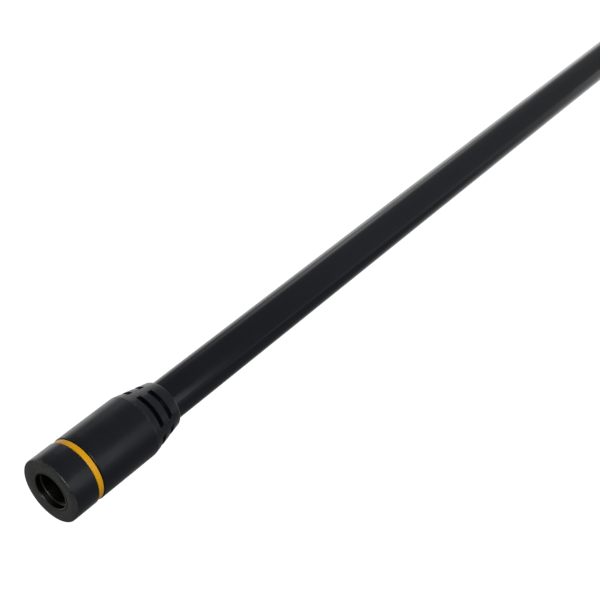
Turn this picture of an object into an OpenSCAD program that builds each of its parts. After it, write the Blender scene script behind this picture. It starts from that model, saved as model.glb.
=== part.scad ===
// Screw-on stand rod: threaded socket hub with a soft grip, painted tube, threaded far end with lock nut.
// Every piece is turned about the rod's axis. Lengths along the rod run from the hub's end face.

/* [Rod] */
// Length from the hub's end face to the tip of the far thread
rod_len = 600; // [300:5:1200]
// Outer diameter of the tube
tube_d = 17.6; // [16:0.1:18.4]
// Wall of the tube
tube_wall = 1.2; // [0.8:0.1:2]

/* [Hub] */
// Length of the cap
cap_len = 11.5; // [8:0.1:16]
// Fillet round the cap's end face
cap_fillet = 0.4; // [0.3:0.1:1.5]
// How far the mouth's chamfer widens it on each side
mouth_flare = 1.2; // [0.5:0.1:1.4]
// Depth of the mouth's chamfer
mouth_chamfer = 0.1; // [0.1:0.05:1.2]
// Depth from the end face to the steel socket
mouth_depth = 2.3; // [1.3:0.1:3]
// Width of the accent ring
ring_w = 2.4; // [1.5:0.1:5]
// How far the accent ring lies below the hub's surface
ring_recess = 0.3; // [0.1:0.05:0.8]
// Gap on each side of the accent ring
ring_gap = 0.35; // [0.2:0.05:0.6]

/* [Grip] */
// Length of the grip's straight part
grip_len = 28.8; // [22:0.1:60]
// Thickness of the rubber over the core and over the air space in the tail
grip_wall = 1.8; // [1.2:0.1:3]
// Thickness of the rubber at the end of the tail
tail_end_wall = 1.45; // [1.2:0.05:1.8]
// Length of the lip that holds the tail on the tube
tail_lip = 3; // [2:0.1:4]
// Length of the tail behind its last slots
tail_rim = 5.3; // [4.5:0.1:8]
// Fillet at the end of the tail
tail_fillet = 1.1; // [0.4:0.1:1.3]
// Start of the first slot row behind the tail's start
slot_start = 3.3; // [2:0.1:6]
// Width of a flex slot
slot_w = 2.4; // [1.5:0.1:4]
// Width of the rib between two slot rows
rib_w = 3.6; // [2:0.1:6]
// Rows of flex slots
slot_rows = 2; // [1:1:4]
// Flex slots in a row
slot_count = 4; // [3:1:6]
// Angle that one slot spans
slot_deg = 71; // [20:1:74]
// Angle from the top to the middle of the first slot
slot_turn = 37; // [0:1:90]

/* [Socket] */
// Crest diameter of the socket's inside thread
socket_crest_d = 14.9; // [14.8:0.01:15.1]
// Distance from one thread crest to the next
thread_pitch = 0.94; // [0.9:0.01:1]
// Depth of a thread groove
thread_depth = 0.4; // [0.3:0.01:0.5]
// Flat at the bottom of a thread groove
root_flat = 0.03; // [0.01:0.01:0.08]
// Length of the thread inside the socket
socket_thread_len = 18; // [12:0.5:24]
// Depth and width of the chamfer that leads into the thread
lead_in = 0.35; // [0.2:0.05:1.2]
// Room between the thread's grooves and the relief behind them
relief_step = 0.15; // [0.05:0.05:0.3]
// Width of the relief behind the thread
relief_w = 1.2; // [0.8:0.1:2]
// Wall of the steel socket round the tube
socket_wall = 1.15; // [0.8:0.05:2]
// Thickness of the floor between thread and tube
socket_floor = 2.4; // [1.5:0.1:4]
// Thickness of the rubber washer on the socket's floor
washer_t = 1.5; // [1:0.1:3]
// Wall of the hub core inside the cap
core_wall = 1.4; // [1:0.1:2.5]
// Step of the hub core that the accent ring rests on
core_step = 0.55; // [0.3:0.05:1]
// Distance from the end face to the hub core
core_front = 4; // [3:0.1:6]

/* [Far end] */
// Crest diameter of the far thread
spigot_d = 15.85; // [15.7:0.01:15.9]
// Length of the far thread from its flange to its tip
spigot_len = 22; // [20:0.5:30]
// Plain neck between the parking thread and the free thread
neck_w = 1.2; // [0.8:0.1:2]
// How far the spigot's flange stands out from the tube
flange_rim = 1.2; // [0.8:0.1:2]
// Thickness of the spigot's flange
flange_t = 3; // [2:0.1:5]
// Length of the spigot's stem in the tube
stem_len = 25; // [18:0.5:40]
// Wall of the end collar round the flange
collar_wall = 1.55; // [1:0.05:3]
// Length of the end collar over the tube
collar_len = 14; // [11:0.5:24]
// Fillets of the end collar
collar_fillet = 1; // [0.3:0.1:1.2]
// Chamfer on the far thread's tip
tip_chamfer = 1; // [0.6:0.1:1.5]

/* [Lock nut] */
// Wall of the lock nut round the friction washer
nut_wall = 1.9; // [1.6:0.1:4]
// Thickness of the lock nut
nut_t = 6; // [5:0.1:8]
// Grooves round the lock nut
nut_grooves = 30; // [16:1:40]
// Depth of a groove in the lock nut
nut_groove = 0.5; // [0.2:0.05:0.8]
// Chamfer on the lock nut's edges
nut_chamfer = 0.7; // [0.3:0.1:1.2]
// Thickness of the friction washer
friction_t = 2; // [1.6:0.1:3]
// How far the friction washer sits inside the lock nut
friction_inset = 1.2; // [0.8:0.1:1.4]
// Width of the friction washer's ring
friction_w = 1.8; // [1.2:0.1:3]

/* [Pins and clearances] */
// Diameter of the spring pins
pin_d = 3; // [2:0.1:4]
// Wall of the spring pins
pin_wall = 0.6; // [0.4:0.05:0.8]
// Width of the slit along a spring pin
pin_slit = 0.7; // [0.4:0.1:1]
// How far a spring pin stays below the surface
pin_end_gap = 0.4; // [0.2:0.1:0.8]
// Radial room between pieces that are fixed together
fixed_fit = 0.05; // [0.02:0.01:0.08]
// Radial room between the lock nut and the thread
thread_fit = 0.06; // [0.03:0.01:0.09]
// Gap between pieces that move past each other
run_gap = 0.3; // [0.2:0.05:0.4]

/* [Hidden] */
$fn = 96;

// Threads
flank = thread_depth * tan(30);
crest_flat = thread_pitch - 2 * flank - root_flat;
thread_start = mouth_depth + lead_in;
socket_threads = floor((socket_thread_len - crest_flat) / thread_pitch);
thread_end = thread_start + socket_threads * thread_pitch + crest_flat;

// Places along the hub
ring_front = cap_len + ring_gap;
ring_back = ring_front + ring_w;
grip_front = ring_back + ring_gap;
tail_front = grip_front + grip_len;
slot_pitch = slot_w + rib_w;
tail_len = slot_start + (slot_rows - 1) * slot_pitch + slot_w + tail_rim;
tail_back = tail_front + tail_len;
washer_front = thread_end + relief_w;
socket_floor_front = washer_front + washer_t;
tube_front = socket_floor_front + socket_floor;
socket_pin_at = (tube_front + tail_front) / 2;

// Places along the far end
flange_back = rod_len - spigot_len;
tube_back = flange_back - flange_t;
collar_front = tube_back - collar_len;
spigot_pin_at = tube_back - collar_len / 2;
friction_front = flange_back + run_gap;
nut_front = friction_front + friction_t - friction_inset + run_gap;
nut_back = nut_front + nut_t;
park_front = flange_back + neck_w;
park_threads = ceil((nut_back - park_front) / thread_pitch);
neck_front = park_front + park_threads * thread_pitch + crest_flat;
free_front = neck_front + neck_w;
free_threads = floor((rod_len - tip_chamfer - free_front - crest_flat) / thread_pitch);
free_back = free_front + free_threads * thread_pitch + crest_flat;

// Radii
tube_r = tube_d / 2;
tube_in_r = tube_r - tube_wall;
tube_seat_r = tube_r + fixed_fit;
socket_r = tube_seat_r + socket_wall;
core_bore_r = socket_r + fixed_fit;
core_nose_r = core_bore_r + core_wall;
core_seat_r = core_nose_r + core_step;
grip_bore_r = core_seat_r + fixed_fit;
hub_r = grip_bore_r + grip_wall;
tail_end_r = tube_seat_r + tail_end_wall;
thread_r = socket_crest_d / 2;
mouth_bore_r = thread_r + lead_in;
mouth_r = mouth_bore_r + mouth_flare;
relief_r = thread_r + thread_depth + relief_step;
flange_r = tube_r + flange_rim;
collar_r = flange_r + fixed_fit + collar_wall;
spigot_r = spigot_d / 2;
spigot_root_r = spigot_r - thread_depth;
nut_bore_r = spigot_r + thread_fit;
friction_r = nut_bore_r + friction_w;
nut_r = friction_r + run_gap + nut_wall;
pin_r = pin_d / 2;

// How far a cut runs past what it cuts
over = 1;

// Shades
black_plastic = "#26282b";
black_rubber = "#1f2225";
black_paint = "#2b2e31";
yellow_plastic = "#d69a08";
grey_nylon = "#3c3f42";
steel = "#9a9ca0";
black_steel = "#4e4d4b";
zinc = "#8e9093";
natural_nylon = "#c9c5b8";

// Stands a turned piece on the rod's axis: its axis along +X, its 0 degrees at the top.
// X = 0 is the first crest of the socket's thread.
module on_axis() {
    translate([-thread_start, 0, 0])
        rotate([0, 90, 0])
            rotate([0, 0, 180])
                children();
}

// Tube between two places along the rod.
module ring(outer_r, inner_r, from, to) {
    rotate_extrude()
        translate([inner_r, from])
            square([outer_r - inner_r, to - from]);
}

// What a fillet takes off an outer edge at radius r. side is 1 for a back edge, -1 for a front edge.
module edge_off(r, at, fillet, side) {
    translate([r - fillet, at - side * fillet])
        scale([1, side])
            difference() {
                square(2 * fillet);
                circle(r = fillet);
            }
}

// Outline points of a ridged thread, from the first crest on. step is the way from crest to root.
function ridges(crest_r, step, start, count) = [
    for (i = [0:count - 1], p = [[0, 0], [0, crest_flat], [1, crest_flat + flank], [1, thread_pitch - flank]])
        [crest_r + step * p[0], start + i * thread_pitch + p[1]],
    [crest_r, start + count * thread_pitch],
    [crest_r, start + count * thread_pitch + crest_flat]
];

// Radius of the grip's outside at a place along its tail.
function tail_r(at) = hub_r - (hub_r - tail_end_r) * (at - tail_front) / tail_len;

// Hole for a spring pin across the rod, or the pin's own round.
module across(at, r, len) {
    translate([0, 0, at])
        rotate([90, 0, 0])
            cylinder(r = r, h = len, center = true);
}

// Spring pin rolled from strip, with its slit towards the tube's far end.
module spring_pin(at, len) {
    difference() {
        across(at, pin_r, len);
        across(at, pin_r - pin_wall, len + 2 * over);
        translate([-pin_slit / 2, -len, at])
            cube([pin_slit, 2 * len, pin_d]);
    }
}

module socket_cap() {
    color(black_plastic)
        on_axis()
            rotate_extrude()
                difference() {
                    translate([mouth_bore_r, 0])
                        square([hub_r - mouth_bore_r, cap_len]);
                    edge_off(hub_r, 0, cap_fillet, -1);
                    polygon([[0, -over], [mouth_r, -over], [mouth_r, 0],
                             [mouth_bore_r, mouth_chamfer], [0, mouth_chamfer]]);
                    translate([0, mouth_depth])
                        square([core_bore_r, cap_len]);
                    translate([0, core_front])
                        square([core_nose_r + fixed_fit, cap_len]);
                }
}

module thread_socket() {
    color(black_steel)
        on_axis()
            difference() {
                rotate_extrude()
                    difference() {
                        translate([0, mouth_depth])
                            square([socket_r, tail_front - mouth_depth]);
                        polygon(concat(
                            [[0, mouth_depth - over], [mouth_bore_r, mouth_depth - over],
                             [mouth_bore_r, mouth_depth]],
                            ridges(thread_r, thread_depth, thread_start, socket_threads),
                            [[relief_r, thread_end], [relief_r, socket_floor_front],
                             [0, socket_floor_front]]));
                        translate([0, tube_front])
                            square([tube_seat_r, tail_front]);
                    }
                across(socket_pin_at, pin_r + fixed_fit, 2 * hub_r);
            }
}

module socket_washer() {
    color(black_rubber)
        on_axis()
            ring(relief_r - fixed_fit, thread_r / 2, washer_front, socket_floor_front);
}

module hub_core() {
    color(grey_nylon)
        on_axis()
            difference() {
                union() {
                    ring(core_nose_r, core_bore_r, core_front, ring_back);
                    ring(core_seat_r, core_bore_r, ring_back, tail_front);
                }
                across(socket_pin_at, pin_r + fixed_fit, 2 * hub_r);
            }
}

module accent_ring() {
    color(yellow_plastic)
        on_axis()
            ring(hub_r - ring_recess, core_nose_r + fixed_fit, ring_front, ring_back);
}

module grip_sleeve() {
    slope = atan2(hub_r - tail_end_r, tail_len);
    round_at = tail_back - tail_fillet;
    round_r = tail_r(round_at) - tail_fillet / cos(slope);
    lip_front = tail_back - tail_lip;
    color(black_rubber)
        on_axis()
            difference() {
                rotate_extrude()
                    difference() {
                        union() {
                            polygon([[0, grip_front], [hub_r, grip_front], [hub_r, tail_front],
                                     [round_r + tail_fillet * cos(slope), round_at + tail_fillet * sin(slope)],
                                     [round_r, tail_back], [0, tail_back]]);
                            translate([round_r, round_at])
                                circle(r = tail_fillet);
                        }
                        polygon([[0, grip_front - over], [grip_bore_r, grip_front - over],
                                 [grip_bore_r, tail_front],
                                 [max(tail_r(lip_front) - grip_wall, tube_seat_r), lip_front],
                                 [tube_seat_r, lip_front], [tube_seat_r, tail_back + over],
                                 [0, tail_back + over]]);
                    }
                for (row = [0:slot_rows - 1], i = [0:slot_count - 1])
                    rotate([0, 0, slot_turn - slot_deg / 2 + i * 360 / slot_count])
                        rotate_extrude(angle = slot_deg)
                            translate([tube_seat_r, tail_front + slot_start + row * slot_pitch])
                                square([hub_r, slot_w]);
            }
}

module socket_pin() {
    color(steel)
        on_axis()
            spring_pin(socket_pin_at, 2 * (core_seat_r - pin_end_gap));
}

module tube() {
    color(black_paint)
        on_axis()
            difference() {
                ring(tube_r, tube_in_r, tube_front, tube_back);
                across(socket_pin_at, pin_r + fixed_fit, 2 * hub_r);
                across(spigot_pin_at, pin_r + fixed_fit, 2 * hub_r);
            }
}

module end_collar() {
    color(black_plastic)
        on_axis()
            rotate_extrude()
                difference() {
                    translate([tube_seat_r, collar_front])
                        square([collar_r - tube_seat_r, flange_back - collar_front]);
                    edge_off(collar_r, collar_front, collar_fillet, -1);
                    edge_off(collar_r, flange_back, collar_fillet, 1);
                    translate([0, tube_back])
                        square([flange_r + fixed_fit, 2 * flange_t]);
                }
}

module thread_spigot() {
    stem_r = tube_in_r - fixed_fit;
    color(black_steel)
        on_axis()
            difference() {
                union() {
                    translate([0, 0, tube_back - stem_len])
                        cylinder(r = stem_r, h = stem_len);
                    translate([0, 0, tube_back])
                        cylinder(r = flange_r, h = flange_t);
                    rotate_extrude()
                        polygon(concat(
                            [[0, flange_back], [spigot_root_r, flange_back], [spigot_root_r, park_front]],
                            ridges(spigot_r, -thread_depth, park_front, park_threads),
                            [[spigot_root_r, neck_front], [spigot_root_r, free_front]],
                            ridges(spigot_r, -thread_depth, free_front, free_threads),
                            [[spigot_r - (rod_len - free_back), rod_len], [0, rod_len]]));
                }
                across(spigot_pin_at, pin_r + fixed_fit, 2 * hub_r);
            }
}

module spigot_pin() {
    color(steel)
        on_axis()
            spring_pin(spigot_pin_at, 2 * (tube_r - pin_end_gap));
}

module friction_washer() {
    color(natural_nylon)
        on_axis()
            ring(friction_r, nut_bore_r, friction_front, friction_front + friction_t);
}

module lock_nut() {
    color(zinc)
        on_axis()
            difference() {
                rotate_extrude()
                    difference() {
                        polygon([[0, nut_front], [nut_r - nut_chamfer, nut_front],
                                 [nut_r, nut_front + nut_chamfer], [nut_r, nut_back - nut_chamfer],
                                 [nut_r - nut_chamfer, nut_back], [0, nut_back]]);
                        translate([0, nut_front - over])
                            square([nut_bore_r, nut_t + 2 * over]);
                        translate([0, nut_front - over])
                            square([friction_r + run_gap, over + friction_inset]);
                    }
                for (i = [0:nut_grooves - 1])
                    rotate([0, 0, i * 360 / nut_grooves])
                        translate([nut_r, 0, nut_front - over])
                            cylinder(r = nut_groove, h = nut_t + 2 * over);
            }
}

socket_cap();
thread_socket();
socket_washer();
hub_core();
accent_ring();
grip_sleeve();
socket_pin();
tube();
end_collar();
thread_spigot();
spigot_pin();
friction_washer();
lock_nut();
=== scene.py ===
"""Screw-on stand rod: threaded hub with a soft grip, painted tube, threaded far end with a lock nut.

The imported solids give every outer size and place. The classes below build one sub-assembly each,
in millimetres along the rod from the hub's end face, and dress it with its finish.
"""

import logging
import math
from dataclasses import dataclass, field
from enum import Enum
from typing import Any, Callable, Mapping, Sequence

import bmesh
import bpy
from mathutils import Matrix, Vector


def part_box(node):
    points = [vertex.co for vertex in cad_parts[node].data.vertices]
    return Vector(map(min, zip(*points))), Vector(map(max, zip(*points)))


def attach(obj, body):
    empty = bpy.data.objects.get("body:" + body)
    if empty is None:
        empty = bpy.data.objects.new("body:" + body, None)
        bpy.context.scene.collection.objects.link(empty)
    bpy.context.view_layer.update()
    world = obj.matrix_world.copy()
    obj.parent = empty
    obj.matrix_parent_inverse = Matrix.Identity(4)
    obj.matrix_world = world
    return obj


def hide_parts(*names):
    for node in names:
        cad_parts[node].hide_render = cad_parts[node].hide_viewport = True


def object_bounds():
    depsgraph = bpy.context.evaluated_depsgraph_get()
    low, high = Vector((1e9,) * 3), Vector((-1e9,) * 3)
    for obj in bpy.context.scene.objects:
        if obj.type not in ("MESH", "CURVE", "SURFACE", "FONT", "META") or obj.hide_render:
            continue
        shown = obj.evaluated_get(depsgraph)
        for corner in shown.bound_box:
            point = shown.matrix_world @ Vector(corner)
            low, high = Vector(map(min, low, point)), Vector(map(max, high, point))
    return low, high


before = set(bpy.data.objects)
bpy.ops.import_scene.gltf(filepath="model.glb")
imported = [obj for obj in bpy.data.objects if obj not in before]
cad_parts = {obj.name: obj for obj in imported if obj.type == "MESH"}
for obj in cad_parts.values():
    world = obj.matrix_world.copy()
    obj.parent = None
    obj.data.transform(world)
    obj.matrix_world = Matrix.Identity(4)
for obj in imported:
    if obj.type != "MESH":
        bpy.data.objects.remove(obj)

CAD_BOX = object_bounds()
MM = 0.001
# Columns of a turned mesh: one a degree keeps the rod round close up.
COLUMNS = 360
# Straight steps in which an outline's fillet is drawn.
ARC_STEPS = 5
# Points closer than this many metres become one, as where a thread runs out.
WELD = 1e-6
# Place of the hub's end face on X, in millimetres; the origin lies behind it, at the first crest.
END_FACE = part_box("socket_cap")[0][0] / MM

log = logging.getLogger("stand_rod")

Point = tuple[float, float]
Row = list[Point]


class Body(Enum):
    """The bodies that the pieces built here ride on."""

    ROD = "rod"
    NUT = "nut"


class Slot(Enum):
    """The record's material slots of the pieces built here."""

    CAP = "cap_plastic"
    GRIP = "grip_rubber"
    ACCENT = "accent_plastic"
    TUBE = "tube_paint"
    STEEL = "turned_steel"
    NUT = "nut_metal"


# ---------------------------------------------------------------- turned meshes


@dataclass(frozen=True)
class Span:
    """Room of one solid.

    Attributes:
        front: where it starts, in millimetres from the end face.
        back: where it ends.
        radius: how far it reaches from the axis.
    """

    front: float
    back: float
    radius: float

    @classmethod
    def of(cls, node: str) -> "Span":
        """Read a CAD node's room.

        Args:
            node: name of the CAD node.

        Returns:
            Its span, in millimetres from the end face.
        """
        low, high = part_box(node)
        return cls(low[0] / MM - END_FACE, high[0] / MM - END_FACE, high[1] / MM)


def spot_on(at: float, radius: float, turn: float) -> Vector:
    """Find the point at a way along the rod, a radius and a turn about it.

    Args:
        at: millimetres from the end face.
        radius: millimetres from the axis.
        turn: radians from the top, right-handed about the way to the far end.

    Returns:
        The point, in metres.
    """
    return Vector(((END_FACE + at) * MM, -radius * math.sin(turn) * MM, radius * math.cos(turn) * MM))


def rounded(corners: Sequence[tuple[float, float, float]]) -> list[Point]:
    """Round the corners of a closed outline.

    Args:
        corners: place, radius and fillet of each corner, in millimetres.

    Returns:
        Outline points with an arc at each corner that has a fillet.
    """
    points: list[Point] = []
    for index, (at, radius, fillet) in enumerate(corners):
        here = Vector((at, radius))
        back = (Vector(corners[index - 1][:2]) - here).normalized()
        ahead = (Vector(corners[(index + 1) % len(corners)][:2]) - here).normalized()
        if fillet == 0:
            points.append((at, radius))
            continue
        half = back.angle(ahead) / 2
        centre = here + (back + ahead).normalized() * (fillet / math.sin(half))
        start = here + back * (fillet / math.tan(half)) - centre
        end = here + ahead * (fillet / math.tan(half)) - centre
        for step in range(ARC_STEPS + 1):
            spoke = start.lerp(end, step / ARC_STEPS).normalized() * fillet
            points.append(tuple(centre + spoke))
    return points


def plain_rows(points: Sequence[Point], columns: int = COLUMNS) -> list[Row]:
    """Turn outline points into rows of a turned mesh, one point for each column and one to close it."""
    return [[point] * (columns + 1) for point in points]


def smooth_mesh(form: bmesh.types.BMesh, crease: float) -> None:
    """Shade a mesh smooth but for its creases.

    Args:
        form: the mesh.
        crease: edges bent by more than this many degrees stay sharp.
    """
    bmesh.ops.recalc_face_normals(form, faces=form.faces)
    for face in form.faces:
        face.smooth = True
    for edge in form.edges:
        edge.smooth = len(edge.link_faces) == 2 and edge.calc_face_angle(0.0) < math.radians(crease)


def as_object(form: bmesh.types.BMesh, name: str) -> bpy.types.Object:
    """Put a finished mesh into the scene and free it.

    Args:
        form: the mesh.
        name: the object's name.

    Returns:
        The object, at the origin.
    """
    mesh = bpy.data.meshes.new(name)
    form.to_mesh(mesh)
    form.free()
    made = bpy.data.objects.new(name, mesh)
    bpy.context.scene.collection.objects.link(made)
    return made


def turned(name: str, rows: Sequence[Row], closed: bool = True, crease: float = 32.0) -> bpy.types.Object:
    """Turn a piece about the rod's axis.

    Args:
        name: the piece's name.
        rows: place and radius at each column, row by row round the outline.
        closed: whether the last row meets the first; otherwise both lie on the axis.
        crease: edges bent by more than this many degrees stay sharp.

    Returns:
        The piece.
    """
    form = bmesh.new()
    columns = len(rows[0]) - 1
    share = math.tau / columns
    grid = [
        [form.verts.new(spot_on(at, radius, share * column)) for column, (at, radius) in enumerate(row)]
        for row in rows
    ]
    pairs = list(zip(grid, grid[1:])) + ([(grid[-1], grid[0])] if closed else [])
    for near, far in pairs:
        for column in range(columns):
            form.faces.new((near[column], near[column + 1], far[column + 1], far[column]))
    bmesh.ops.remove_doubles(form, verts=form.verts, dist=WELD)
    bmesh.ops.dissolve_degenerate(form, edges=form.edges, dist=WELD / 10)
    smooth_mesh(form, crease)
    return as_object(form, name)


@dataclass(frozen=True)
class Thread:
    """Right-hand 60 degree thread on the rod's axis, in millimetres.

    Attributes:
        start: where the first crest begins.
        crest: radius of the crests.
        root: radius of the grooves' floor.
        pitch: way along the rod in one turn.
        crest_flat: width of a crest.
        root_flat: width of a groove's floor.
    """

    start: float
    crest: float
    root: float
    pitch: float
    crest_flat: float = 0.448
    root_flat: float = 0.03

    def knots(self) -> list[tuple[float, float]]:
        """Lay out the profile of one pitch.

        Returns:
            Ways along the pitch and how far each is from crest (0) to root (1).
        """
        flank = (self.pitch - self.crest_flat - self.root_flat) / 2
        fall = self.crest_flat
        low = fall + flank
        return [
            (0.0, 0.0), (self.crest_flat / 2, 0.0), (fall, 0.0), (fall + flank / 2, 0.5),
            (low, 1.0), (low + self.root_flat, 1.0), (low + self.root_flat + flank / 2, 0.5),
        ]

    def rows(
        self, front: float, back: float, limit: Callable[[float], float], inside: bool,
        columns: int = COLUMNS,
    ) -> list[Row]:
        """Draw the rows that follow the helix between two places.

        Args:
            front: where the rows start.
            back: where they end.
            limit: radius that chamfers and necks leave at a place.
            inside: whether the thread is cut inside a bore.
            columns: columns of the turned mesh.

        Returns:
            Rows for a turned mesh, front to back.
        """
        pick = max if inside else min
        made: list[Row] = []
        first = math.floor((front - self.start) / self.pitch) - 1
        last = math.ceil((back - self.start) / self.pitch)
        for turn in range(first, last + 1):
            for way, fall in self.knots():
                base = self.start + turn * self.pitch + way
                cut = self.crest + (self.root - self.crest) * fall
                row: Row = []
                for column in range(columns + 1):
                    at = min(max(base + self.pitch * column / columns, front), back)
                    row.append((at, pick(cut, limit(at))))
                made.append(row)
        return made


# ---------------------------------------------------------------- finishes


def linear(code: str) -> tuple[float, float, float, float]:
    """Turn an sRGB hex colour into linear light.

    Args:
        code: colour such as "#1b1d20".

    Returns:
        Red, green, blue and an alpha of 1.
    """
    parts = (int(code[place:place + 2], 16) / 255 for place in (1, 3, 5))
    red, green, blue = (
        part / 12.92 if part <= 0.04045 else ((part + 0.055) / 1.055) ** 2.4 for part in parts
    )
    return red, green, blue, 1.0


def add_node(
    tree: bpy.types.NodeTree,
    kind: str,
    settings: Mapping[Any, Any] | None = None,
    links: Mapping[Any, bpy.types.NodeSocket] | None = None,
) -> bpy.types.Node:
    """Add a node with its settings and links.

    Args:
        tree: node tree that gets the node.
        kind: the node's type, such as "ShaderNodeTexNoise".
        settings: values by socket name or number, or by property name.
        links: sockets that feed the node, by socket name or number.

    Returns:
        The new node.
    """
    made = tree.nodes.new(kind)
    for key, value in (settings or {}).items():
        if isinstance(key, int) or key in made.inputs:
            made.inputs[key].default_value = value
        else:
            setattr(made, key, value)
    for key, source in (links or {}).items():
        tree.links.new(source, made.inputs[key])
    return made


def per_mm(size: float) -> float:
    """Texture scale at which one feature of a pattern is size millimetres wide."""
    return 1 / (size * MM)


@dataclass(frozen=True)
class Ramp:
    """How one value follows another.

    Attributes:
        start: where the change begins.
        stop: where it ends.
        first: value up to the start.
        last: value from the stop on.
        eased: whether it eases in and out; otherwise it is a straight line.
    """

    start: float
    stop: float
    first: float
    last: float
    eased: bool = True

    def settings(self) -> dict[str, Any]:
        """Give the settings of a node that maps a range.

        Returns:
            Values by socket or property name.
        """
        return {
            "interpolation_type": "SMOOTHSTEP" if self.eased else "LINEAR",
            "From Min": self.start, "From Max": self.stop, "To Min": self.first, "To Max": self.last,
        }


@dataclass(frozen=True)
class Edge:
    """Edge that hands and other pieces rub.

    Attributes:
        at: millimetres from the end face.
        reach: how far the wear spreads to each side, in millimetres.
        amount: how strong it is, up to 1.
    """

    at: float
    reach: float
    amount: float


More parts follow.
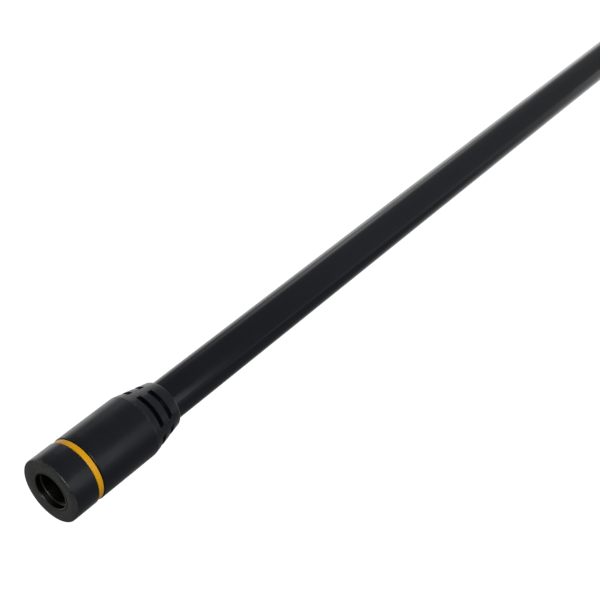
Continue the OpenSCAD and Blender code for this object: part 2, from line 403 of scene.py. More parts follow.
@dataclass(frozen=True)
class Finish:
    """What a piece is made of, its colour and how its surface was made.

    The grain of a real surface is mostly finer than a tenth of a millimetre. It is drawn coarser, as
    wide as grain says, so that it still shows.

    Attributes:
        name: the material's name.
        colour: sRGB colour.
        worn: sRGB colour where it is rubbed.
        roughness: mean roughness.
        grain: width of one grain, in millimetres.
        relief: height of the grain, in millimetres.
        metallic: 1 for bare metal.
        ior: index of refraction.
        spread: how far the roughness strays from its mean.
        smudge: width of its patches, in millimetres.
        turned: whether tool marks run round the piece.
        edges: edges that wear shows on.
        scuff: width of one scuff, in millimetres.
        face_wear: how scuffs come out of their noise away from the edges.
        edge_wear: how they come out of it on a piece with handled edges.
        edge_lift: how much an edge raises the noise.
        worn_roughness: roughness that a scuff adds.
    """

    name: str
    colour: str
    worn: str
    roughness: float
    grain: float
    relief: float
    metallic: float = 0.0
    ior: float = 1.5
    spread: float = 0.06
    smudge: float = 9.0
    turned: bool = False
    edges: tuple[Edge, ...] = ()
    scuff: float = 1.6
    face_wear: Ramp = Ramp(0.66, 0.74, 0.0, 0.35, eased=False)
    edge_wear: Ramp = Ramp(0.64, 0.82, 0.0, 0.8, eased=False)
    edge_lift: float = 0.3
    worn_roughness: float = 0.12

    def place(self, tree: bpy.types.NodeTree) -> bpy.types.NodeSocket:
        """Find the point on the piece that the patterns are drawn by.

        Args:
            tree: the material's node tree.

        Returns:
            The point, or on turned metal its way along and its radius, so that marks run round.
        """
        spot = add_node(tree, "ShaderNodeTexCoord").outputs["Object"]
        if not self.turned:
            return spot
        flat = add_node(tree, "ShaderNodeVectorMath", {"operation": "MULTIPLY", 1: (0, 1, 1)}, {0: spot})
        radius = add_node(tree, "ShaderNodeVectorMath", {"operation": "LENGTH"}, {0: flat.outputs[0]})
        parts = add_node(tree, "ShaderNodeSeparateXYZ", links={0: spot})
        return add_node(
            tree, "ShaderNodeCombineXYZ", links={"X": parts.outputs["X"], "Y": radius.outputs["Value"]}
        ).outputs[0]

    def wear(self, tree: bpy.types.NodeTree, spot: bpy.types.NodeSocket) -> bpy.types.NodeSocket:
        """Build the mask of rubbed places: broken scuffs, thickest near the piece's handled edges.

        Args:
            tree: the material's node tree.
            spot: point on the piece.

        Returns:
            Socket that runs from 0, untouched, to 1, rubbed.
        """
        scuffs = add_node(
            tree, "ShaderNodeTexNoise",
            {"Scale": per_mm(self.scuff), "Detail": 6.0, "Roughness": 0.62, "Distortion": 0.6},
            {"Vector": spot})
        if not self.edges:
            return add_node(
                tree, "ShaderNodeMapRange", self.face_wear.settings(), {"Value": scuffs.outputs[0]}
            ).outputs[0]
        object_spot = add_node(tree, "ShaderNodeTexCoord").outputs["Object"]
        along = add_node(tree, "ShaderNodeSeparateXYZ", links={0: object_spot}).outputs["X"]
        near: bpy.types.NodeSocket | None = None
        for edge in self.edges:
            away = add_node(
                tree, "ShaderNodeMath", {"operation": "SUBTRACT", 1: (END_FACE + edge.at) * MM}, {0: along})
            size = add_node(tree, "ShaderNodeMath", {"operation": "ABSOLUTE"}, {0: away.outputs[0]})
            band = add_node(
                tree, "ShaderNodeMapRange", Ramp(0.0, edge.reach * MM, edge.amount, 0.0).settings(),
                {"Value": size.outputs[0]})
            near = band.outputs[0] if near is None else add_node(
                tree, "ShaderNodeMath", {"operation": "MAXIMUM"}, {0: near, 1: band.outputs[0]}).outputs[0]
        lifted = add_node(
            tree, "ShaderNodeMath", {"operation": "MULTIPLY_ADD", 1: self.edge_lift},
            {0: near, 2: scuffs.outputs[0]})
        return add_node(
            tree, "ShaderNodeMapRange", self.edge_wear.settings(), {"Value": lifted.outputs[0]}).outputs[0]

    def material(self) -> bpy.types.Material:
        """Make the material.

        Returns:
            Material with colour, wear, roughness and bump from its nodes.
        """
        made = bpy.data.materials.new(self.name)
        made.use_nodes = True
        tree = made.node_tree
        tree.nodes.clear()
        spot = self.place(tree)
        worn = self.wear(tree, spot)
        smudges = add_node(
            tree, "ShaderNodeTexNoise",
            {"Scale": per_mm(self.smudge), "Detail": 4.0, "Roughness": 0.55},
            {"Vector": add_node(tree, "ShaderNodeTexCoord").outputs["Object"]})
        mix = Ramp(0.3, 0.7, self.roughness - self.spread, self.roughness + self.spread, eased=False)
        rough = add_node(tree, "ShaderNodeMapRange", mix.settings(), {"Value": smudges.outputs[0]})
        rough_worn = add_node(
            tree, "ShaderNodeMath", {"operation": "MULTIPLY_ADD", 1: self.worn_roughness},
            {0: worn, 2: rough.outputs[0]})
        tint = add_node(
            tree, "ShaderNodeMix",
            {"data_type": "RGBA", 6: linear(self.colour), 7: linear(self.worn)}, {0: worn})
        grains = add_node(
            tree, "ShaderNodeTexNoise", {"Scale": per_mm(self.grain), "Detail": 3.0, "Roughness": 0.5},
            {"Vector": spot})
        bump = add_node(
            tree, "ShaderNodeBump", {"Strength": 1.0, "Distance": self.relief * MM},
            {"Height": grains.outputs[0]})
        shader = add_node(
            tree, "ShaderNodeBsdfPrincipled", {"Metallic": self.metallic, "IOR": self.ior},
            {"Base Color": tint.outputs[2], "Roughness": rough_worn.outputs[0], "Normal": bump.outputs[0]})
        add_node(tree, "ShaderNodeOutputMaterial", links={"Surface": shader.outputs[0]})
        return made


# Injection-moulded ABS from a spark-eroded mould: a satin black with a fine even grain, and greyer
# where stands and hands rub its two end faces.
BLACK_ABS = Finish(
    "black_abs", "#12161c", "#3a3a39", 0.3, 0.35, 0.006, ior=1.54,
    edges=(Edge(0.0, 1.2, 1.0), Edge(Span.of("end_collar").back, 1.5, 0.8)))
# ABS coloured right through with a yellow pigment: even and a little duller than the black.
YELLOW_ABS = Finish("yellow_abs", "#f4b000", "#d89c10", 0.36, 0.3, 0.006, ior=1.54)
# Thermoplastic rubber: black, with a soft broad shine, and greyer on the shoulder that fingers hold.
SOFT_RUBBER = Finish(
    "soft_rubber", "#12151c", "#333434", 0.31, 0.45, 0.008,
    edges=(Edge(Span.of("hub_core").back, 1.0, 0.7),))
# Powder coat baked on steel tube: a tight gloss over the faint waves of orange peel, about 1 mm wide.
POWDER_COAT = Finish("black_powder_coat", "#13171e", "#333434", 0.17, 0.9, 0.008, smudge=26.0)
# Black oxide on turned steel: a dark warm grey that still mirrors, with turning marks round it that
# are about as fine as real ones.
BLACK_STEEL = Finish("black_steel", "#55534f", "#7c7973", 0.3, 0.09, 0.004, metallic=1.0, turned=True)
# Rolled spring steel, oiled: a plain mid grey with no marks of turning.
SPRING_STEEL = Finish("spring_steel", "#6f6e6c", "#57504a", 0.38, 0.2, 0.004, metallic=1.0)
# Nickel plate on a turned nut: bright and slightly warm, duller where it is handled.
NICKEL = Finish("nickel_nut", "#b0aca3", "#8f8a80", 0.28, 0.12, 0.004, metallic=1.0, turned=True)
# Nylon moulded with black pigment: dull, with a dry surface, because nobody sees or polishes it.
NYLON_CORE = Finish("nylon_core", "#2a2c2e", "#444545", 0.48, 0.6, 0.01, ior=1.53)
# Punched sheet rubber: matt and near black.
SEAL_RUBBER = Finish("seal_rubber", "#191a1b", "#323232", 0.62, 0.4, 0.015, ior=1.52)
# Unpigmented nylon: a waxy off-white.
NATURAL_NYLON = Finish("natural_nylon", "#cdc8b8", "#a8a08c", 0.42, 0.5, 0.01, ior=1.53)


def settle(
    piece: bpy.types.Object, body: Body, finish: bpy.types.Material, node: str
) -> None:
    """Give a piece its finish and body, and let it stand for its CAD node.

    Args:
        piece: the piece.
        body: body that it rides on.
        finish: its material.
        node: CAD node that it replaces.
    """
    piece.data.materials.clear()
    piece.data.materials.append(finish)
    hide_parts(node)
    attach(piece, body.value)
    log.info("%s rides on %s and stands for %s", piece.name, body.value, node)


def dress(node: str, finish: bpy.types.Material) -> None:
    """Give a CAD node that stays as it is its finish.

    Args:
        node: name of the CAD node.
        finish: its material.
    """
    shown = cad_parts[node]
    for place in shown.material_slots:
        place.material = finish
    if not shown.material_slots:
        shown.data.materials.append(finish)
    log.info("%s keeps its solid and gets %s", node, finish.name)


# ---------------------------------------------------------------- sub-assemblies


@dataclass
class Hub:
    """Threaded end: cap, steel socket and accent ring, in millimetres.

    Attributes:
        cap: room of the cap.
        socket: room of the steel socket.
        ring: room of the accent ring.
        core: room of the core that carries them.
        seal: room of the washer on the thread's floor.
        tube: room of the tube that the socket holds.
        pitch: the inside thread's way in one turn.
        crest: radius of its crests.
        groove: depth of its grooves.
        nose_wall: wall of the socket's nose, which lines the mouth.
        nose_below: how far the nose stays behind the end face.
        lead_row: how far behind the nose's foot the first row of the thread lies.
        run_out: length of the relief behind the thread.
        relief: radius of that relief.
        core_nose: radius of the core where the cap and the ring sit on it.
        fit: room between pieces that are pressed together.
        rim_fillet: rounding of the cap's outer edge.
        ring_fillet: rounding of the ring's two edges.
        steel_fillet: rounding of the socket's outer edges and its mouth.
        nose_fillet: rounding of the nose's outer edge.
        seam: rounding of the cap's edge at the ring.
        mouth_seam: rounding of the cap's edge at the nose.
    """

    cap: Span = field(default_factory=lambda: Span.of("socket_cap"))
    socket: Span = field(default_factory=lambda: Span.of("thread_socket"))
    ring: Span = field(default_factory=lambda: Span.of("accent_ring"))
    core: Span = field(default_factory=lambda: Span.of("hub_core"))
    seal: Span = field(default_factory=lambda: Span.of("socket_washer"))
    tube: Span = field(default_factory=lambda: Span.of("tube"))
    pitch: float = 0.94
    crest: float = 7.45
    groove: float = 0.4
    nose_wall: float = 1.2
    nose_below: float = 0.02
    lead_row: float = 0.06
    run_out: float = 1.2
    relief: float = 8.0
    core_nose: float = 11.45
    fit: float = 0.05
    rim_fillet: float = 0.4
    ring_fillet: float = 0.25
    steel_fillet: float = 0.2
    nose_fillet: float = 0.15
    seam: float = 0.18
    mouth_seam: float = 0.12

    def mouth(self) -> float:
        """Radius of the mouth's bore: the lead-in widens the thread by its own length."""
        return self.crest - END_FACE - self.socket.front

    def build_cap(self, plastic: bpy.types.Material) -> None:
        """Mould the cap with its plain face and the seats of the socket's nose, the socket and the core.

        Args:
            plastic: the cap's finish.
        """
        nose_seat = self.mouth() + self.nose_wall + self.fit
        seat = self.socket.radius + self.fit
        core_seat = self.core_nose + self.fit
        rim = self.cap.radius
        outline = rounded([
            (0.0, nose_seat, self.mouth_seam), (0.0, rim, self.rim_fillet),
            (self.cap.back, rim, self.seam), (self.cap.back, core_seat, 0.0),
            (self.core.front, core_seat, 0.0), (self.core.front, seat, 0.0),
            (self.socket.front, seat, 0.0), (self.socket.front, nose_seat, 0.0),
        ])
        settle(turned("hub_cap", plain_rows(outline)), Body.ROD, plastic, "socket_cap")

    def build_socket(self, steel: bpy.types.Material) -> None:
        """Turn the steel socket with its nose, and cut its inside thread as one helix behind a lead-in.

        Args:
            steel: the socket's finish.
        """
        front = self.socket.front
        thread_back = self.seal.front - self.run_out
        outer = self.socket.radius
        tube_seat = self.tube.radius + self.fit
        bore = self.mouth()
        nose = bore + self.nose_wall
        before = rounded([
            (self.tube.front, 0.0, 0.0), (self.tube.front, tube_seat, 0.0),
            (self.socket.back, tube_seat, 0.0), (self.socket.back, outer, self.steel_fillet),
            (front, outer, self.steel_fillet), (front, nose, 0.0),
            (self.nose_below, nose, self.nose_fillet), (self.nose_below, bore, self.steel_fillet),
            (front, bore, 0.0),
        ])

        def chamfers(at: float) -> float:
            """Radius that the lead-in and the relief leave."""
            return max(bore - (at - front), self.relief - (thread_back - at), self.crest)

        thread = Thread(-END_FACE, self.crest, self.crest + self.groove, self.pitch)
        rows = plain_rows(before)
        rows += thread.rows(front + self.lead_row, thread_back, chamfers, inside=True)
        rows += plain_rows([
            (thread_back, self.relief), (self.seal.back, self.relief), (self.seal.back, 0.0)])
        piece = turned("steel_socket", rows, closed=False)
        settle(piece, Body.ROD, steel, "thread_socket")

    def build_ring(self, plastic: bpy.types.Material) -> None:
        """Mould the accent ring with softened edges.

        Args:
            plastic: the ring's finish.
        """
        inner = self.core_nose + self.fit
        outline = rounded([
            (self.ring.front, inner, 0.0), (self.ring.front, self.ring.radius, self.ring_fillet),
            (self.ring.back, self.ring.radius, self.ring_fillet), (self.ring.back, inner, 0.0),
        ])
        settle(turned("colour_ring", plain_rows(outline)), Body.ROD, plastic, "accent_ring")


@dataclass
class Grip:
    """Soft grip with its tapered, slotted tail, in millimetres and degrees.

    Attributes:
        sleeve: room of the grip.
        core: room of the core that it is drawn over.
        tube: room of the tube that its lip closes on.
        fit: room between pieces that are pressed together.
        wall: thickness of the tail.
        end_wall: thickness of the lip at its end.
        lip: length of the lip that closes on the tube.
        end_fillet: rounding of the tail's end.
        front_fillet: rounding of the grip's front edge.
        seat_fillet: rounding of the lip's inner edge.
        shoulder: half the length over which the barrel bends into the tail.
        shoulder_drop: how far the bend's middle lies below the barrel.
        front_run: length of the barrel that is drawn with the front edge.
        end_run: way from the last row of slots to where the end's outline starts.
        slot_start: way from the tail's start to the first row of slots.
        slot_width: width of a slot along the rod.
        rib: width of the rib between two rows.
        rows: how many rows of slots there are.
        count: slots in a row.
        slot_deg: how far one slot runs round.
        slot_turn: turn from the top to the middle of the first slot.
        corner: rounding of a slot's corners.
        edge: rounding of its rim on the outside.
        crease: edges bent by more than this stay sharp.
    """

    sleeve: Span = field(default_factory=lambda: Span.of("grip_sleeve"))
    core: Span = field(default_factory=lambda: Span.of("hub_core"))
    tube: Span = field(default_factory=lambda: Span.of("tube"))
    fit: float = 0.05
    wall: float = 1.8
    end_wall: float = 1.45
    lip: float = 3.0
    end_fillet: float = 1.1
    front_fillet: float = 0.25
    seat_fillet: float = 0.15
    shoulder: float = 0.35
    shoulder_drop: float = 0.02
    front_run: float = 4.0
    end_run: float = 1.0
    slot_start: float = 3.3
    slot_width: float = 2.4
    rib: float = 3.6
    rows: int = 2
    count: int = 4
    slot_deg: float = 71.0
    slot_turn: float = 37.0
    corner: float = 0.45
    edge: float = 0.35
    crease: float = 34.0

    def outer(self, at: float) -> float:
        """Find the tapered tail's outer radius.

        Args:
            at: place along the rod.

        Returns:
            The radius there.
        """
        end = self.tube.radius + self.fit + self.end_wall
        way = (at - self.core.back) / (self.sleeve.back - self.core.back)
        return self.sleeve.radius + (end - self.sleeve.radius) * way

    def inner(self, at: float) -> float:
        """Find the tail's inner radius, over the air space round the tube.

        Args:
            at: place along the rod.

        Returns:
            The radius there.
        """
        bore = self.core.radius + self.fit
        seat = self.tube.radius + self.fit
        lip_front = self.sleeve.back - self.lip
        end = max(self.outer(lip_front) - self.wall, seat)
        return bore + (end - bore) * (at - self.core.back) / (lip_front - self.core.back)

    def slot_places(self) -> list[float]:
        """Find where the slots' edges lie.

        Returns:
            Front and back edge of each row of slots, in order.
        """
        places: list[float] = []
        for row in range(self.rows):
            start = self.core.back + self.slot_start + row * (self.slot_width + self.rib)
            places += [start, start + self.slot_width]
        return places

    def build(self, rubber: bpy.types.Material) -> None:
        """Mould the sleeve as two skins joined at both ends and round every slot.

        Args:
            rubber: the sleeve's finish.
        """
        places = self.slot_places()
        front, tail, back = self.sleeve.front, self.core.back, self.sleeve.back
        barrel = self.sleeve.radius
        bore = self.core.radius + self.fit
        seat = self.tube.radius + self.fit
        lip_front = back - self.lip
        skin = [(place, self.outer(place)) for place in places]
        lining = [(place, self.inner(place)) for place in places]
        # The first corner only gives the bore's direction, so its point is left out.
        head = rounded([
            (front + self.front_run, bore, 0.0), (front, bore, 0.0),
            (front, barrel, self.front_fillet), (front + self.front_run, barrel, 0.0),
        ])[1:]
        heel_front = places[-1] + self.end_run
        heel = rounded([
            (heel_front, self.outer(heel_front), 0.0), (back, self.outer(back), self.end_fillet),
            (back, seat, self.seat_fillet), (lip_front, seat, 0.0), (lip_front, self.inner(lip_front), 0.0),
        ])
        bend = [
            (tail - self.shoulder, barrel), (tail, barrel - self.shoulder_drop),
            (tail + self.shoulder, self.outer(tail + self.shoulder)),
        ]
        outline = head + bend + skin + heel + lining[::-1] + [(tail, bore)]
        skin_row = len(head) + len(bend)
        lining_row = skin_row + len(skin) + len(heel)
        self.mould(outline, skin_row, lining_row, len(places), rubber)

    def mould(
        self, outline: Sequence[Point], skin_row: int, lining_row: int, edges: int,
        rubber: bpy.types.Material,
    ) -> None:
        """Turn the sleeve's outline, leave the slots out and wall them.

        Args:
            outline: points round the sleeve's wall.
            skin_row: the outline's row at the first slot edge on the outside.
            lining_row: the outline's row at the last slot edge on the inside.
            edges: how many slot edges there are.
            rubber: the sleeve's finish.
        """
        form = bmesh.new()
        start = math.radians(self.slot_turn - self.slot_deg / 2)
        step = math.tau / COLUMNS
        sector = COLUMNS // self.count
        width = round(math.radians(self.slot_deg) / step)
        grid: list[list[bmesh.types.BMVert]] = []
        for row, (at, radius) in enumerate(outline):
            on_skin = row - skin_row if 0 <= row - skin_row < edges else None
            on_lining = edges - 1 - (row - lining_row) if 0 <= row - lining_row < edges else None
            edge = on_skin if on_skin is not None else on_lining
            ring: list[bmesh.types.BMVert] = []
            for column in range(COLUMNS):
                shift = 0.0
                if edge is not None and column % sector <= width:
                    away = min(column % sector, width - column % sector) * step * radius
                    if away < self.corner:
                        inward = self.corner - math.sqrt(self.corner ** 2 - (self.corner - away) ** 2)
                        shift = inward if edge % 2 == 0 else -inward
                ring.append(form.verts.new(spot_on(at + shift, radius, start + column * step)))
            grid.append(ring)
        open_rows = {skin_row + 2 * row: lining_row + edges - 1 - 2 * row for row in range(self.rows)}
        skipped = set(open_rows) | {inner - 1 for inner in open_rows.values()}
        for row in range(len(outline)):
            near, far = grid[row], grid[(row + 1) % len(outline)]
            for column in range(COLUMNS):
                if row in skipped and column % sector < width:
                    continue
                after = (column + 1) % COLUMNS
                form.faces.new((near[column], near[after], far[after], far[column]))
        rims: list[bmesh.types.BMEdge] = []
        for outer_front, inner_front in open_rows.items():
            rims += self.wall_slots(form, grid, outer_front, inner_front, sector, width)
        bmesh.ops.bevel(
            form, geom=rims, offset=self.edge * MM, offset_type="OFFSET", segments=3, profile=0.5,
            affect="EDGES", clamp_overlap=True)
        smooth_mesh(form, self.crease)
        piece = as_object(form, "grip_sleeve_soft")
        settle(piece, Body.ROD, rubber, "grip_sleeve")

    def wall_slots(
        self, form: bmesh.types.BMesh, grid: list[list[bmesh.types.BMVert]],
        outer_front: int, inner_front: int, sector: int, width: int,
    ) -> list[bmesh.types.BMEdge]:
        """Wall one row of slots between skin and lining.

        Args:
            form: the sleeve's mesh.
            grid: its points by row and column.
            outer_front: row of the slots' front edge on the skin.
            inner_front: row of the same edge on the lining.
            sector: columns from one slot to the next.
            width: columns that one slot spans.

        Returns:
            The skin's edges round the slots, to be rounded.
        """
        outer_back, inner_back = outer_front + 1, inner_front - 1
        rims: list[bmesh.types.BMEdge] = []
        for slot in range(self.count):
            first = slot * sector
            last = (first + width) % COLUMNS
            for way in range(width):
                here, after = (first + way) % COLUMNS, (first + way + 1) % COLUMNS
                for outer, inner in ((outer_front, inner_front), (outer_back, inner_back)):
                    skin, lining = grid[outer], grid[inner]
                    form.faces.new((skin[here], skin[after], lining[after], lining[here]))
                    rims.append(form.edges.get((skin[here], skin[after])))
            for column in (first, last):
                form.faces.new((
                    grid[outer_front][column], grid[outer_back][column],
                    grid[inner_back][column], grid[inner_front][column]))
                rims.append(form.edges.get((grid[outer_front][column], grid[outer_back][column])))
        return rims


@dataclass
class Tube:
    """Painted steel tube, in millimetres.

    Attributes:
        tube: room of the tube.
        wall: its wall.
        fillet: rounding of its cut ends.
    """

    tube: Span = field(default_factory=lambda: Span.of("tube"))
    wall: float = 1.2
    fillet: float = 0.15

    def build(self, paint: bpy.types.Material) -> None:
        """Draw the tube with both ends deburred.

        Args:
            paint: the tube's finish.
        """
        inner = self.tube.radius - self.wall
        outline = rounded([
            (self.tube.front, inner, self.fillet), (self.tube.front, self.tube.radius, self.fillet),
            (self.tube.back, self.tube.radius, self.fillet), (self.tube.back, inner, self.fillet),
        ])
        settle(turned("painted_tube", plain_rows(outline)), Body.ROD, paint, "tube")


@dataclass
class FarEnd:
    """Threaded far end: collar and turned spigot, in millimetres.

    Attributes:
        collar: room of the collar.
        spigot: room of the spigot.
        tube: room of the tube that it closes.
        nut: room of the lock nut at rest.
        fit: room between pieces that are pressed together.
        pitch: the thread's way in one turn.
        crest: radius of its crests.
        groove: depth of its grooves.
        crest_flat: width of a crest.
        neck: length of the plain necks that the thread starts behind.
        stem: radius of the stem inside the tube.
        tip: room that the thread leaves at the tip for its chamfer.
        collar_fillet: rounding of the collar's outer edges.
        lip_fillet: rounding of its edge on the tube.
        flange_seam: rounding of its edge at the flange.
        stem_fillet: rounding of the stem's end.
        flange_fillet: rounding of the flange's outer edge.
        flange_foot: rounding of the flange's edge on the tube.
    """

    collar: Span = field(default_factory=lambda: Span.of("end_collar"))
    spigot: Span = field(default_factory=lambda: Span.of("thread_spigot"))
    tube: Span = field(default_factory=lambda: Span.of("tube"))
    nut: Span = field(default_factory=lambda: Span.of("lock_nut"))
    fit: float = 0.05
    pitch: float = 0.94
    crest: float = 7.925
    groove: float = 0.4
    crest_flat: float = 0.448
    neck: float = 1.2
    stem: float = 7.55
    tip: float = 1.0
    collar_fillet: float = 1.0
    lip_fillet: float = 0.15
    flange_seam: float = 0.12
    stem_fillet: float = 0.4
    flange_fillet: float = 0.3
    flange_foot: float = 0.15

    def build_collar(self, plastic: bpy.types.Material) -> None:
        """Mould the collar over the tube's end and the flange.

        Args:
            plastic: the collar's finish.
        """
        seat = self.tube.radius + self.fit
        flange = self.spigot.radius + self.fit
        outer = self.collar.radius
        outline = rounded([
            (self.collar.front, seat, self.lip_fillet), (self.collar.front, outer, self.collar_fillet),
            (self.collar.back, outer, self.collar_fillet), (self.collar.back, flange, self.flange_seam),
            (self.tube.back, flange, 0.0), (self.tube.back, seat, 0.0),
        ])
        settle(turned("far_collar", plain_rows(outline)), Body.ROD, plastic, "end_collar")

    def thread(self) -> Thread:
        """Thread of the spigot, its crests starting behind the flange's neck."""
        return Thread(
            self.collar.back + self.neck, self.crest, self.crest - self.groove, self.pitch, self.crest_flat)

    def build_spigot(self, steel: bpy.types.Material) -> None:
        """Turn the spigot and cut its outside thread, with a neck before and after the parked nut.

        Args:
            steel: the spigot's finish.
        """
        thread = self.thread()
        park = thread.start
        turns = math.ceil((self.nut.back - park) / self.pitch)
        park_back = park + turns * self.pitch + self.crest_flat
        free = park_back + self.neck
        tip = self.spigot.back
        free_turns = math.floor((tip - self.tip - free - self.crest_flat) / self.pitch)
        free_back = free + free_turns * self.pitch + self.crest_flat

        def necks(at: float) -> float:
            """Find the radius that the necks and the tip's chamfer leave.

            Args:
                at: place along the rod.

            Returns:
                The radius there.
            """
            if at > free_back:
                return thread.crest - (at - free_back)
            on_parked = min(at - park, park_back - at)
            on_free = min(at - free, self.groove)
            return thread.root + min(max(on_parked, on_free, 0.0), self.groove)

        front = self.spigot.front
        flange = self.spigot.radius
        before = rounded([
            (front, 0.0, 0.0), (front, self.stem, self.stem_fillet), (self.tube.back, self.stem, 0.0),
            (self.tube.back, flange, self.flange_foot), (self.collar.back, flange, self.flange_fillet),
            (self.collar.back, thread.root, 0.0),
        ])
        rows = plain_rows(before) + thread.rows(self.collar.back, tip, necks, inside=False)
        rows += plain_rows([(tip, 0.0)])
        piece = turned("steel_spigot", rows, closed=False)
        settle(piece, Body.ROD, steel, "thread_spigot")


@dataclass
class LockNut:
    """Knurled lock nut that screws along the spigot, in millimetres.

    Attributes:
        mate: the spigot's thread that it runs on.
        nut: room of the nut.
        washer: room of the friction washer in its pocket.
        gap: room round the washer.
        thread_fit: room between its thread and the spigot's.
        inset: depth of the pocket.
        mouth: how far the thread's chamfers widen its crests at both ends.
        grooves: how many knurling grooves there are.
        groove: radius of a groove.
        chamfer: chamfer of the outer edges.
        chamfer_steps: rows that draw one chamfer.
        pocket_fillet: rounding of the pocket's edge.
        floor_fillet: rounding of its floor.
        columns: columns of its mesh, enough for each groove to be round.
        crease: edges bent by more than this many degrees stay sharp.
    """

    mate: Thread
    nut: Span = field(default_factory=lambda: Span.of("lock_nut"))
    washer: Span = field(default_factory=lambda: Span.of("friction_washer"))
    gap: float = 0.3
    thread_fit: float = 0.06
    inset: float = 1.2
    mouth: float = 0.3
    grooves: int = 30
    groove: float = 0.5
    chamfer: float = 0.7
    chamfer_steps: int = 3
    pocket_fillet: float = 0.15
    floor_fillet: float = 0.1
    columns: int = 720
    crease: float = 28.0

    def knurled(self, at: float, radius: float) -> Row:
        """Draw a row round the nut with its straight grooves cut in.

        Args:
            at: the row's place.
            radius: the row's radius between the grooves.

        Returns:
            Row for a turned mesh.
        """
        row: Row = []
        share = math.tau / self.grooves
        for column in range(self.columns + 1):
            turn = math.tau * column / self.columns
            away = abs((turn + share / 2 + math.pi / 2) % share - share / 2) * self.nut.radius
            cut = math.sqrt(max(self.groove ** 2 - away ** 2, 0.0))
            row.append((at, min(radius, self.nut.radius - cut)))
        return row

    def build(self, nickel: bpy.types.Material) -> None:
        """Turn the nut, knurl it and cut its thread to run on the spigot's.

        Args:
            nickel: the nut's finish.
        """
        front, back, outer = self.nut.front, self.nut.back, self.nut.radius
        pocket = self.washer.radius + self.gap
        floor = front + self.inset
        mate = self.mate
        crest, root = mate.crest + self.thread_fit, mate.root + self.thread_fit

        def chamfers(at: float) -> float:
            """Radius that the thread's two chamfers leave."""
            return max(crest + self.mouth - (at - floor), crest + self.mouth - (back - at), root)

        thread = Thread(mate.start, crest, root, mate.pitch, mate.crest_flat, mate.root_flat)
        # The first two corners only give the front face's direction; the knurled rows draw them.
        rows = plain_rows(rounded([
            (back, outer, 0.0), (front, outer, 0.0), (front, pocket, self.pocket_fillet),
            (floor, pocket, self.floor_fillet), (floor, crest, 0.0)])[2:], self.columns)
        rows += thread.rows(floor, back, chamfers, inside=True, columns=self.columns)
        for step in range(self.chamfer_steps + 1):
            cut = self.chamfer * (step / self.chamfer_steps)
            rows.append(self.knurled(back - cut, outer - self.chamfer + cut))
        for step in range(self.chamfer_steps, -1, -1):
            cut = self.chamfer * (step / self.chamfer_steps)
            rows.append(self.knurled(front + cut, outer - self.chamfer + cut))
        piece = turned("knurled_nut", rows, crease=self.crease)
        settle(piece, Body.NUT, nickel, "lock_nut")


# ---------------------------------------------------------------- studio


@dataclass(frozen=True)
class Softbox:
    """Area lamp.

    Attributes:
        name: the lamp's name.
        place: where it stands, in metres.
        aim: what it looks at.
        size: its two sides, in metres.
        power: its strength in watts.
    """

    name: str
    place: tuple[float, float, float]
    aim: tuple[float, float, float]
    size: tuple[float, float]
    power: float

    def build(self) -> None:
        """Hang the lamp."""
        lamp = bpy.data.lights.new(self.name, "AREA")
        lamp.shape = "RECTANGLE"
        lamp.size, lamp.size_y = self.size
        lamp.energy = self.power
        made = bpy.data.objects.new(self.name, lamp)
        made.location = self.place
        made.rotation_euler = (Vector(self.aim) - Vector(self.place)).to_track_quat("-Z", "Y").to_euler()
        bpy.context.scene.collection.objects.link(made)


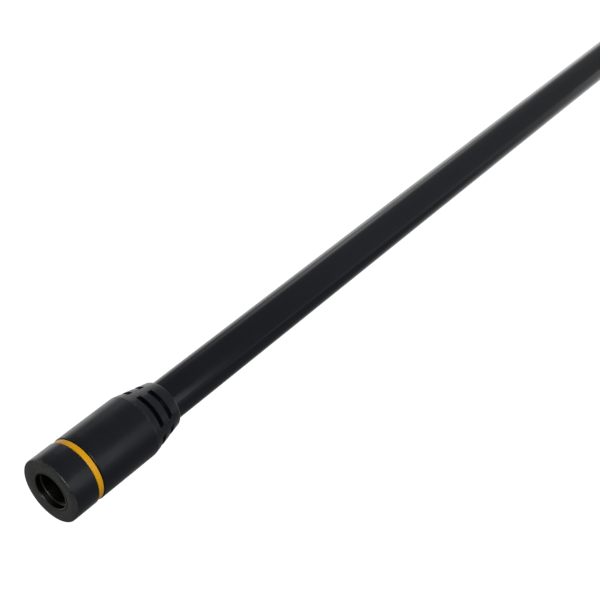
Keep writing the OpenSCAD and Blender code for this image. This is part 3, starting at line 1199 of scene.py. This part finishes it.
@dataclass(frozen=True)
class Studio:
    """Pale floor, white surroundings, lamps and the camera.

    Places and lengths are in metres, and the camera's two angles in degrees.

    Attributes:
        floor_drop: how far the floor lies below the rod.
        floor_size: half the floor's side.
        floor_colour: sRGB colour of its paper.
        floor_seen: how bright it is where it is seen.
        floor_slant: how much the way along the rod counts in the slanted way to the back.
        floor_behind: painted light that mirrors see on it, by the slanted way to the back.
        floor_along: painted light added to that, by the way along the rod.
        azimuth: the camera's turn about the vertical, 0 where it looks along +Y.
        elevation: the camera's height above the rod, as an angle.
        distance: way from the camera to its aim.
        aim: point that it looks at.
        lens: its lens in millimetres.
        sensor: width of its sensor in millimetres.
        horizon: brightness of the surroundings by height.
        backdrop: how far a direction is to the back.
        bright_end: brightness near the horizon by the way along the rod.
        room: brightness of the room by the way along the rod.
        window: direction of the window.
        window_glow: brightness by the angle from the window, in radians.
        lamps: the lamps.
    """

    floor_drop: float = 0.42
    floor_size: float = 9.0
    floor_colour: str = "#9a9a9a"
    floor_seen: float = 0.96
    floor_slant: float = 0.65
    floor_behind: Ramp = Ramp(-0.35, 0.5, 0.12, 1.0)
    floor_along: Ramp = Ramp(0.4, 1.5, 0.0, 0.24)
    azimuth: float = -52.389
    elevation: float = 37.35
    distance: float = 0.57326
    aim: tuple[float, float, float] = (0.1474, -0.00014, -0.00221)
    lens: float = 78.08
    sensor: float = 36.0
    horizon: Ramp = Ramp(-0.05, 0.36, 1.0, 0.0)
    backdrop: Ramp = Ramp(0.0, 0.8, 0.0, 1.0)
    bright_end: Ramp = Ramp(0.48, 0.72, 0.7, 1.6)
    room: Ramp = Ramp(0.48, 0.66, 0.13, 0.28)
    window: tuple[float, float, float] = (0.66, 0.625, 0.417)
    window_glow: Ramp = Ramp(0.0, math.radians(15.0), 1.2, 0.0)
    lamps: tuple[Softbox, ...] = (
        Softbox("key_box", (-0.45, -0.75, 0.95), (0.15, 0.0, 0.0), (0.6, 0.6), 11.0),
        Softbox("front_card", (0.18, -0.345, 0.15), (0.03, 0.0, 0.0), (0.14, 0.244), 0.08),
    )

    def build_camera(self) -> None:
        """Stand the camera at its azimuth and elevation."""
        turn, rise = math.radians(self.azimuth), math.radians(self.elevation)
        away = Vector((math.sin(turn) * math.cos(rise), -math.cos(turn) * math.cos(rise), math.sin(rise)))
        view = bpy.data.cameras.new("camera")
        view.lens = self.lens
        view.sensor_width = self.sensor
        view.clip_start = 0.01
        made = bpy.data.objects.new("camera", view)
        made.location = Vector(self.aim) + away * self.distance
        made.rotation_euler = (-away).to_track_quat("-Z", "Y").to_euler()
        bpy.context.scene.collection.objects.link(made)
        bpy.context.scene.camera = made

    def floor_paper(self) -> bpy.types.Material:
        """Make the floor's pale paper, which is matt and takes the shadow where it is seen; mirrors see
        painted light on it instead.

        Returns:
            Material that reads white where it is seen, and shows in mirrors a painted light that is
            brighter to the back.
        """
        paper = bpy.data.materials.new("paper_floor")
        paper.use_nodes = True
        tree = paper.node_tree
        tree.nodes.clear()
        matt = add_node(tree, "ShaderNodeBsdfDiffuse", {"Color": linear(self.floor_colour)})
        place = add_node(tree, "ShaderNodeTexCoord")
        way = add_node(tree, "ShaderNodeSeparateXYZ", links={0: place.outputs["Object"]})
        slant = add_node(
            tree, "ShaderNodeMath", {"operation": "MULTIPLY_ADD", 1: self.floor_slant},
            {0: way.outputs["X"], 2: way.outputs["Y"]})
        behind = add_node(
            tree, "ShaderNodeMapRange", self.floor_behind.settings(), {"Value": slant.outputs[0]})
        along = add_node(
            tree, "ShaderNodeMapRange", self.floor_along.settings(), {"Value": way.outputs["X"]})
        # Painted light and shade on the paper, seen only in mirrors: dim in front of the rod, brighter
        # behind it and towards the far end; there the paper's own shading is left out.
        painted_floor_light = add_node(
            tree, "ShaderNodeMath", {"operation": "ADD"}, {0: behind.outputs[0], 1: along.outputs[0]})
        rays = add_node(tree, "ShaderNodeLightPath")
        mirrored = add_node(
            tree, "ShaderNodeMath", {"operation": "MAXIMUM"},
            {0: rays.outputs["Is Glossy Ray"], 1: rays.outputs["Is Transmission Ray"]})
        glow = add_node(
            tree, "ShaderNodeMath", {"operation": "MULTIPLY"},
            {0: painted_floor_light.outputs[0], 1: mirrored.outputs[0]})
        seen = add_node(
            tree, "ShaderNodeMath", {"operation": "MULTIPLY_ADD", 1: self.floor_seen},
            {0: rays.outputs["Is Camera Ray"], 2: glow.outputs[0]})
        white = add_node(
            tree, "ShaderNodeEmission", {"Color": (1, 1, 1, 1)}, {"Strength": seen.outputs[0]})
        shade = add_node(tree, "ShaderNodeMixShader", links={0: mirrored.outputs[0], 1: matt.outputs[0]})
        both = add_node(tree, "ShaderNodeAddShader", links={0: shade.outputs[0], 1: white.outputs[0]})
        add_node(tree, "ShaderNodeOutputMaterial", links={"Surface": both.outputs[0]})
        return paper

    def build_floor(self) -> None:
        """Lay the floor."""
        form = bmesh.new()
        bmesh.ops.create_grid(form, x_segments=8, y_segments=8, size=self.floor_size)
        floor = as_object(form, "floor")
        floor.location = (CAD_BOX[0][0] + CAD_BOX[1][0], 0.0, CAD_BOX[0][2] - self.floor_drop)
        floor.data.materials.append(self.floor_paper())

    def build_world(self) -> None:
        """Surround the object: white where seen, bright near the horizon behind, and one soft window."""
        world = bpy.data.worlds.new("studio")
        bpy.context.scene.world = world
        world.use_nodes = True
        tree = world.node_tree
        tree.nodes.clear()
        towards = add_node(tree, "ShaderNodeTexCoord").outputs["Generated"]
        way = add_node(tree, "ShaderNodeSeparateXYZ", links={0: towards})
        low = add_node(tree, "ShaderNodeMapRange", self.horizon.settings(), {"Value": way.outputs["Z"]})
        behind = add_node(tree, "ShaderNodeMapRange", self.backdrop.settings(), {"Value": way.outputs["Y"]})
        strong = add_node(
            tree, "ShaderNodeMapRange", self.bright_end.settings(), {"Value": way.outputs["X"]})
        backdrop = add_node(
            tree, "ShaderNodeMath", {"operation": "MULTIPLY"}, {0: low.outputs[0], 1: strong.outputs[0]})
        end = add_node(tree, "ShaderNodeMapRange", self.room.settings(), {"Value": way.outputs["X"]})
        window = add_node(
            tree, "ShaderNodeVectorMath", {"operation": "DOT_PRODUCT", 1: self.window}, {0: towards})
        off_window = add_node(
            tree, "ShaderNodeMath", {"operation": "ARCCOSINE"}, {0: window.outputs["Value"]})
        panes = add_node(
            tree, "ShaderNodeMapRange", self.window_glow.settings(), {"Value": off_window.outputs[0]})
        room = add_node(
            tree, "ShaderNodeMath", {"operation": "ADD"}, {0: end.outputs[0], 1: panes.outputs[0]})
        paper = add_node(
            tree, "ShaderNodeMath", {"operation": "MULTIPLY_ADD"},
            {0: backdrop.outputs[0], 1: behind.outputs[0], 2: room.outputs[0]})
        seen = add_node(
            tree, "ShaderNodeMath", {"operation": "MAXIMUM"},
            {0: paper.outputs[0], 1: add_node(tree, "ShaderNodeLightPath").outputs["Is Camera Ray"]})
        sky = add_node(
            tree, "ShaderNodeBackground", {"Color": (1, 1, 1, 1)}, {"Strength": seen.outputs[0]})
        add_node(tree, "ShaderNodeOutputWorld", links={"Surface": sky.outputs[0]})

    def build(self) -> None:
        """Build the studio."""
        self.build_camera()
        self.build_floor()
        self.build_world()
        for lamp in self.lamps:
            lamp.build()
        bpy.context.scene.view_settings.view_transform = "Standard"
        log.info("studio stands with %d lamps", len(self.lamps))


def main() -> None:
    """Build and dress the rod and its studio."""
    logging.basicConfig(level=logging.INFO, format="%(name)s: %(message)s")
    plastic = BLACK_ABS.material()
    steel = BLACK_STEEL.material()
    hub = Hub()
    hub.build_cap(plastic)
    hub.build_socket(steel)
    hub.build_ring(YELLOW_ABS.material())
    Grip().build(SOFT_RUBBER.material())
    Tube().build(POWDER_COAT.material())
    far_end = FarEnd()
    far_end.build_collar(plastic)
    far_end.build_spigot(steel)
    LockNut(far_end.thread()).build(NICKEL.material())
    spring = SPRING_STEEL.material()
    for node, finish in {
        "hub_core": NYLON_CORE.material(), "socket_washer": SEAL_RUBBER.material(),
        "socket_pin": spring, "spigot_pin": spring, "friction_washer": NATURAL_NYLON.material(),
    }.items():
        dress(node, finish)
    Studio().build()


if __name__ == "__main__":
    main()
